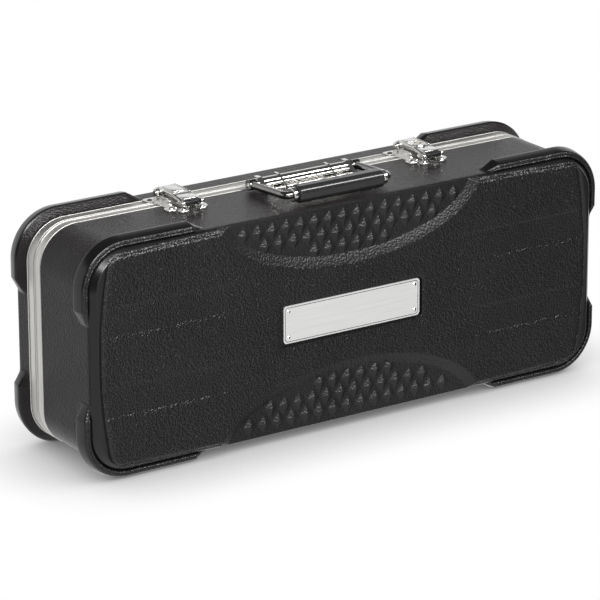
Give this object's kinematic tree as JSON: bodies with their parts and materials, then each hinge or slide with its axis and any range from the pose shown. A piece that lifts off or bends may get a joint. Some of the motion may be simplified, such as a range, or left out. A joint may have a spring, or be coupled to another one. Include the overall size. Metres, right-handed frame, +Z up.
{
  "type": "hard carrying case",
  "caption": "Hard moulded case with a hinged lid, aluminium edges, latches, a key lock and a folding handle, padded for effects pedals.",
  "frame": {"origin": "under the middle of the closed case, on the plane its corner guards stand on", "axes": "+X along the case, +Y from the deep half's face towards the lid, +Z up to the carrying handle"},
  "size_m": [0.519, 0.124, 0.2134],
  "materials": {
    "shell": "moulded, fine leather grain, satin",
    "edge_profile": "extruded, brushed lengthwise",
    "lining": "short plush",
    "foam": "open cell foam",
    "badge": "brushed lengthwise",
    "rivets": "bright",
    "latch_metal": "bright nickel",
    "lock": "plated, turned face",
    "hinge_metal": "zinc plated",
    "handle_base": "bright nickel",
    "handle_metal": "polished",
    "grip": "smooth, glossy"
  },
  "bodies": {
    "root": {"deep_shell": "shell", "deep_valance": "edge_profile", "deep_lining": "lining", "deep_foam_pad": "foam", "badge_plate": "badge", "badge_rivets": "rivets", "handle_base": "handle_base", "handle_backing": "hinge_metal", "handle_pins": "hinge_metal", "handle_rivets": "rivets", "hinge_left_deep_leaf": "hinge_metal", "hinge_right_deep_leaf": "hinge_metal", "hinge_left_pin": "hinge_metal", "hinge_right_pin": "hinge_metal", "hinge_deep_rivets": "rivets", "latch_left_base": "latch_metal", "latch_right_base": "latch_metal", "latch_base_rivets": "rivets"},
    "lid": {"lid_shell": "shell", "lid_valance": "edge_profile", "lid_lining": "lining", "lid_foam_pad": "foam", "hinge_left_lid_leaf": "hinge_metal", "hinge_right_lid_leaf": "hinge_metal", "hinge_lid_rivets": "rivets", "latch_left_hinge_plate": "latch_metal", "latch_right_hinge_plate": "latch_metal", "latch_left_pin": "latch_metal", "latch_right_pin": "latch_metal", "latch_plate_rivets": "rivets"},
    "handle": {"handle_bail": "handle_metal", "handle_grip": "grip", "handle_ferrules": "handle_metal"},
    "latch_left": {"latch_left_lever": "latch_metal"},
    "latch_right": {"latch_right_lever": "latch_metal", "lock_collar": "latch_metal"},
    "lock": {"lock_plug": "lock"}
  },
  "joints": [
    {"name": "lid_hinge", "type": "hinge", "parent": "root", "child": "lid", "pos_m": [0, 0.029, 0.0039], "axis": [-1, 0, 0], "range_deg": [0, 105]},
    {"name": "handle_pivot", "type": "hinge", "parent": "root", "child": "handle", "pos_m": [0, 0.0115, 0.203], "axis": [-1, 0, 0], "range_deg": [0, 95]},
    {"name": "latch_left_pivot", "type": "hinge", "parent": "lid", "child": "latch_left", "pos_m": [-0.121, 0.034, 0.204], "axis": [-1, 0, 0], "range_deg": [0, 135]},
    {"name": "latch_right_pivot", "type": "hinge", "parent": "lid", "child": "latch_right", "pos_m": [0.121, 0.034, 0.204], "axis": [-1, 0, 0], "range_deg": [0, 135]},
    {"name": "lock_turn", "type": "hinge", "parent": "latch_right", "child": "lock", "pos_m": [0.121, 0.015, 0.204], "axis": [0, 0, -1], "range_deg": [0, 90]}
  ]
}
